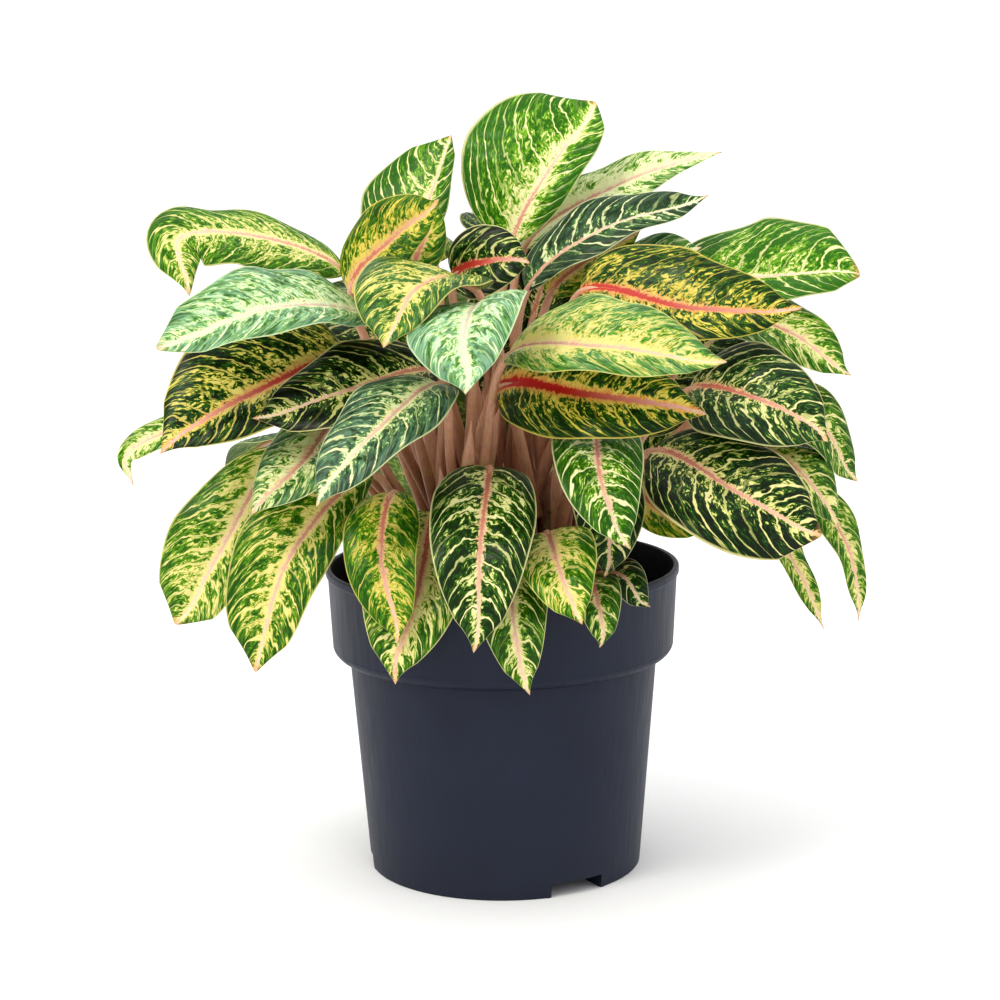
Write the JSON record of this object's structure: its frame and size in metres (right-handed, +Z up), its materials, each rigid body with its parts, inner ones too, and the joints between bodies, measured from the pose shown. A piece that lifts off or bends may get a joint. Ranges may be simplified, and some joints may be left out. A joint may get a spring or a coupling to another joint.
{
  "type": "potted patterned-foliage plant",
  "caption": "Potted aglaonema: a bushy clump of pointed green leaves marbled with cream and pink on slim pale stalks, growing from dark soil in a plain round nursery pot.",
  "frame": {"origin": "on the pot's axis, at the plane its foot stands on", "axes": "+Z up along the pot's axis, -Y towards the viewer of the picture, +X to the picture's right"},
  "size_m": [0.393, 0.3028, 0.4091],
  "materials": {
    "pot_plastic": "satin",
    "potting_soil": "matte",
    "cane": "satin",
    "leaf": "satin"
  },
  "bodies": {
    "root": {"pot": "pot_plastic", "soil": "potting_soil", "cane_front_left": "cane", "leaf_front_middle": "leaf", "leaf_front_left_low": "leaf", "leaf_front_left_streaked": "leaf", "leaf_left_low": "leaf", "leaf_left_pointed": "leaf", "leaf_left_shadow": "leaf", "leaf_left_glossy": "leaf", "leaf_left_silver": "leaf", "leaf_right_red_vein": "leaf", "leaf_right_yellow": "leaf", "leaf_centre_mint": "leaf", "cane_front_right": "cane", "leaf_front_small": "leaf", "leaf_front_right_low": "leaf", "leaf_rim_small": "leaf", "leaf_rim_hooked": "leaf", "leaf_front_right_back": "leaf", "leaf_right_olive": "leaf", "leaf_right_large": "leaf", "leaf_right_dark": "leaf", "leaf_front_heart": "leaf", "leaf_centre_cupped": "leaf", "cane_middle": "cane", "leaf_upper_left_narrow": "leaf", "leaf_upper_right_olive": "leaf", "leaf_back_11": "leaf", "leaf_upper_right_dark": "leaf", "leaf_top_dark": "leaf", "leaf_upper_right_pale": "leaf", "leaf_top": "leaf", "cane_right": "cane", "leaf_right_far_middle": "leaf", "leaf_right_far_behind": "leaf", "leaf_right_far_thin": "leaf", "leaf_right_far_low": "leaf", "leaf_right_upper_back": "leaf", "leaf_right_bright": "leaf", "cane_back_left": "cane", "leaf_back_1": "leaf", "leaf_back_2": "leaf", "leaf_left_hanging": "leaf", "leaf_back_4": "leaf", "leaf_left_far_low": "leaf", "leaf_back_3": "leaf", "leaf_left_red_vein": "leaf", "leaf_back_5": "leaf", "leaf_upper_left_facing": "leaf", "leaf_top_behind": "leaf", "leaf_left_upper": "leaf", "cane_back_right": "cane", "leaf_back_6": "leaf", "leaf_back_7": "leaf", "leaf_back_8": "leaf", "leaf_back_9": "leaf", "leaf_right_upper": "leaf", "leaf_back_10": "leaf", "leaf_right_mint_back": "leaf"}
  },
  "joints": []
}
